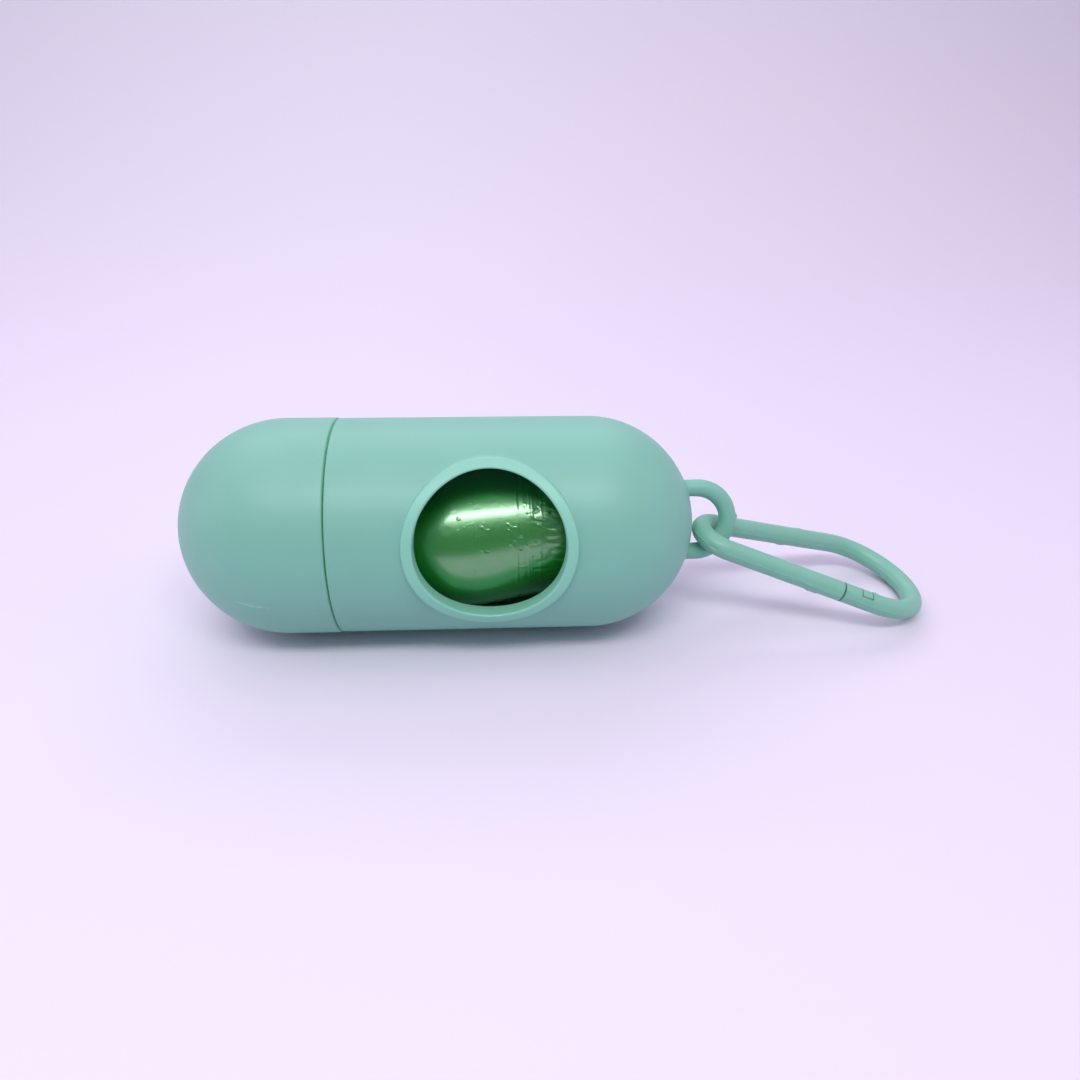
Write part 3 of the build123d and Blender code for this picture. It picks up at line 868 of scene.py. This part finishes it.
for turn in even(0, 2 * ARM_ANGLE, 0.036):
    lift = spine_lift((SPINE_LENGTH + turn * WIDE_R) / MM)
    clip_chain.append(bend_ring(clip_bm, WIDE_C, WIDE_R, ARM_ANGLE - turn, lift))
for at in even(SPINE_LENGTH, GATE_ROOT + NOSE_AT, 0.2 * MM):
    clip_chain.append(bar_ring(clip_bm, GATE_LINE + GATE_DIR * at, -GATE_DIR, -CLIP_N, BAR_R, gate_lift(at / MM)))
bar_mesh(clip_bm, clip_chain)

# Satin mint, a shade deeper than the capsule's and a little smoother, with the same fine skin
CLIP_MINT = "8AC7B2"
CLIP_MINT_DEEP = "81BEA8"
clip_mint, clip_shader, clip_tree = new_material("satin_moulded_green_mint_polypropylene")
clip_place = add_node(clip_tree, "ShaderNodeTexCoord").outputs["Object"]
clip_mottle = add_node(clip_tree, "ShaderNodeTexNoise", {"Vector": clip_place, "Scale": 1 / (3 * MM), "Detail": 3.0})
clip_colour = mixed(clip_tree, clip_mottle.outputs["Fac"], linear(CLIP_MINT), linear(CLIP_MINT_DEEP))
clip_tree.links.new(clip_colour, clip_shader.inputs["Base Color"])
clip_grain = add_node(clip_tree, "ShaderNodeTexNoise", {"Vector": clip_place, "Scale": 1 / SKIN_GRAIN, "Detail": 2.0})
clip_bump = add_node(clip_tree, "ShaderNodeBump", {
    "Height": clip_grain.outputs["Fac"], "Strength": 0.12, "Distance": 0.02 * MM})
clip_tree.links.new(clip_bump.outputs["Normal"], clip_shader.inputs["Normal"])
clip_shader.inputs["Roughness"].default_value = 0.42
clip_shader.inputs["IOR"].default_value = 1.6


def gate_prism(start, end, outline):
    """A prism along the gate, with its start and end from the pivot and its outline inwards and across."""
    bm = bmesh.new()
    ends = [
        [bm.verts.new(GATE_PIVOT + GATE_DIR * at + INWARD * inward + CLIP_N * across) for inward, across in outline]
        for at in (start, end)
    ]
    join_rings(bm, *ends)
    bm.faces.new(ends[0])
    bm.faces.new(ends[1])
    return new_piece("cutter", bm, clip_mint)


CLEAR = 3 * MM
NOSE_SLOT = [(-SLOT_OUT, -SLOT_HALF), (CLEAR, -SLOT_HALF), (CLEAR, SLOT_HALF), (-SLOT_OUT, SLOT_HALF)]
NOSE_NOTCH = [(-NOTCH_OUT, -CLEAR), (CLEAR, -CLEAR), (CLEAR, CLEAR), (-NOTCH_OUT, CLEAR)]
clip_piece = new_piece("clip_bar", clip_bm, clip_mint)
cut_or_join(clip_piece, gate_prism(NOSE_AT - MM, NOTCH_AT + 0.2 * MM, NOSE_SLOT), "DIFFERENCE")
cut_or_join(clip_piece, gate_prism(NOTCH_AT, NOTCH_AT + NOTCH_WIDTH, NOSE_NOTCH), "DIFFERENCE")
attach(clip_piece, "clip")
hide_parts("carabiner_frame")


# ---- Clip gate
# The same moulding goes on into the gate, which on the real clip bends at its root. Its end thins to a tongue that
# lies in the nose's slot and carries a full-height tip, which hooks in the notch. A slit parts it from the nose.
GATE_END = 20.72 * MM
TONGUE_HALF = 0.5 * MM
TONGUE_OUT = 0.75 * MM
TIP_AT = NOTCH_AT + 0.2 * MM
TIP_END = TIP_AT + 2.05 * MM
TIP_OUT = 1.3 * MM

gate_bm = bmesh.new()
gate_chain = []
for at in [-BLEND_HALF] + even(-BLEND_HALF, TIP_END, 0.2 * MM):
    lift = gate_lift((at + GATE_ROOT) / MM)
    gate_chain.append(bar_ring(gate_bm, GATE_PIVOT + GATE_DIR * at, -GATE_DIR, -CLIP_N, BAR_R, lift))
bar_mesh(gate_bm, gate_chain)
gate_piece = new_piece("clip_gate", gate_bm, clip_mint)
ROUND_TONGUE = [
    (-CLEAR, -CLEAR), (CLEAR, -CLEAR), (CLEAR, -TONGUE_HALF), (-TONGUE_OUT, -TONGUE_HALF),
    (-TONGUE_OUT, TONGUE_HALF), (CLEAR, TONGUE_HALF), (CLEAR, CLEAR), (-CLEAR, CLEAR),
]
PAST_TIP = [(-CLEAR, -CLEAR), (-TIP_OUT, -CLEAR), (-TIP_OUT, CLEAR), (-CLEAR, CLEAR)]
cut_or_join(gate_piece, gate_prism(GATE_END, TIP_AT, ROUND_TONGUE), "DIFFERENCE")
cut_or_join(gate_piece, gate_prism(TIP_AT - 0.1 * MM, TIP_END + MM, PAST_TIP), "DIFFERENCE")
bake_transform(gate_piece)
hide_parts("carabiner_gate")


# ---- Photo studio
# A light box: a pale lilac sheet that curves up behind the dispenser, two soft lights above, and white walls.
SHEET_HALF = 0.9
SHEET_FRONT = -0.7
SHEET_BEND_AT = 0.18
SHEET_BEND_R = 0.22
SHEET_TOP = 1.1

sheet_line = [(y, 0) for y in [SHEET_FRONT] + even(SHEET_FRONT, SHEET_BEND_AT, 0.05)]
sheet_line += [
    (SHEET_BEND_AT + SHEET_BEND_R * sin(radians(a)), SHEET_BEND_R * (1 - cos(radians(a)))) for a in range(3, 91, 3)
]
sheet_line += [(SHEET_BEND_AT + SHEET_BEND_R, z) for z in even(SHEET_BEND_R, SHEET_TOP, 0.05)]
sheet_bm = bmesh.new()
sheet_rows = [
    [sheet_bm.verts.new((x, y, z)) for x in [-SHEET_HALF] + even(-SHEET_HALF, SHEET_HALF, 0.1)]
    for y, z in sheet_line
]
for one, two in zip(sheet_rows, sheet_rows[1:]):
    for k in range(len(one) - 1):
        sheet_bm.faces.new((one[k], one[k + 1], two[k + 1], two[k]))

# Matt lilac-white paper, painted paler to the left for the light that falls more brightly there. For diffuse rays it
# is painted darker and greyer, so less light bounces onto the dispenser: painted shade on its underside and in its
# shadows.
PAPER = "EFE3F5"
PAPER_PAINTED_LIGHT_LEFT = "F3E9FA"
PAPER_BOUNCE_SHADE = "D4D4E4"
paper, paper_shader, paper_tree = new_material("matt_lilac_white_paper")
paper_place = add_node(paper_tree, "ShaderNodeTexCoord").outputs["Object"]
paper_xyz = add_node(paper_tree, "ShaderNodeSeparateXYZ", {"Vector": paper_place})
# Painted light: the paper is painted paler towards the left, where more light falls.
paper_light_side = ramped(paper_tree, paper_xyz.outputs["X"], -0.10, 0.10)
paper_seen = mixed(paper_tree, paper_light_side, linear(PAPER_PAINTED_LIGHT_LEFT), linear(PAPER))
# Painted shade: diffuse rays see a darker, greyer paper, so less light bounces back onto the dispenser.
paper_thrown = add_node(paper_tree, "ShaderNodeLightPath").outputs["Is Diffuse Ray"]
paper_colour = mixed(paper_tree, paper_thrown, paper_seen, linear(PAPER_BOUNCE_SHADE))
paper_tree.links.new(paper_colour, paper_shader.inputs["Base Color"])
paper_shader.inputs["Roughness"].default_value = 0.85
paper_shader.inputs["Specular IOR Level"].default_value = 0.1
sheet_piece = new_piece("paper_sheet", sheet_bm, paper)


def soft_light(name, at, towards, size, power, colour, turn=0.0):
    """A rectangular soft light that faces a point, turned about its own line of sight."""
    light = bpy.data.lights.new(name, "AREA")
    light.shape = "RECTANGLE"
    light.size, light.size_y = size
    light.energy = power
    light.color = linear(colour)[:3]
    lamp = bpy.data.objects.new(name, light)
    facing = (Vector(towards) - Vector(at)).to_track_quat("-Z", "Y").to_matrix().to_4x4()
    lamp.matrix_world = Matrix.Translation(at) @ facing @ Matrix.Rotation(turn, 4, "Z")
    bpy.context.scene.collection.objects.link(lamp)


soft_light("front_strip", (0, -0.25, 0.44), (0, 0, 0.02), (0.42, 0.09), 1.04, "F6FFFA")
soft_light("back_panel", (-0.06, 0.30, 0.36), (0, 0, 0.02), (0.60, 0.20), 0.58, "FFFFFF")

# The box is open towards the camera, so little light comes from there. A camera that looks that way sees a
# pale wall all the same.
world = bpy.data.worlds.new("white_walls")
bpy.context.scene.world = world
world.use_nodes = True
walls_tree = world.node_tree
walls_tree.nodes.clear()
walls_place = add_node(walls_tree, "ShaderNodeTexCoord").outputs["Generated"]
walls_xyz = add_node(walls_tree, "ShaderNodeSeparateXYZ", {"Vector": walls_place})
walls_open = add_node(walls_tree, "ShaderNodeMath", {
    0: ramped(walls_tree, walls_xyz.outputs["Y"], -0.35, -0.60),
    1: ramped(walls_tree, walls_xyz.outputs["Z"], 0.80, 0.65)}, operation="MULTIPLY")
walls_side = ramped(walls_tree, walls_xyz.outputs["X"], -0.6, 0.6)
walls_lit = mixed(walls_tree, walls_side, linear("F7ECFF"), linear("E3D7ED"))
walls_unseen = add_node(walls_tree, "ShaderNodeMath", {
    0: 1.0, 1: add_node(walls_tree, "ShaderNodeLightPath").outputs["Is Camera Ray"]}, operation="SUBTRACT")
walls_gap = add_node(walls_tree, "ShaderNodeMath", {
    0: walls_open.outputs[0], 1: walls_unseen.outputs[0]}, operation="MULTIPLY")
walls_colour = mixed(walls_tree, walls_gap.outputs[0], walls_lit, linear("707A7C"))
walls = add_node(walls_tree, "ShaderNodeBackground", {"Color": walls_colour, "Strength": 1.0})
add_node(walls_tree, "ShaderNodeOutputWorld", {"Surface": walls.outputs["Background"]})


# ---- Camera
# Where the photo was taken from, with the field of view of its square frame.
camera_data = bpy.data.cameras.new("camera")
camera_data.lens = 27.95
camera_data.sensor_width = 36
camera_data.clip_start = 0.01
camera = bpy.data.objects.new("camera", camera_data)
camera.location = (-0.01412, -0.13855, 0.10009)
camera.rotation_euler = (radians(58.808), radians(-0.689), radians(-2.958))
bpy.context.scene.collection.objects.link(camera)
bpy.context.scene.camera = camera
bpy.context.scene.view_settings.view_transform = "Standard"
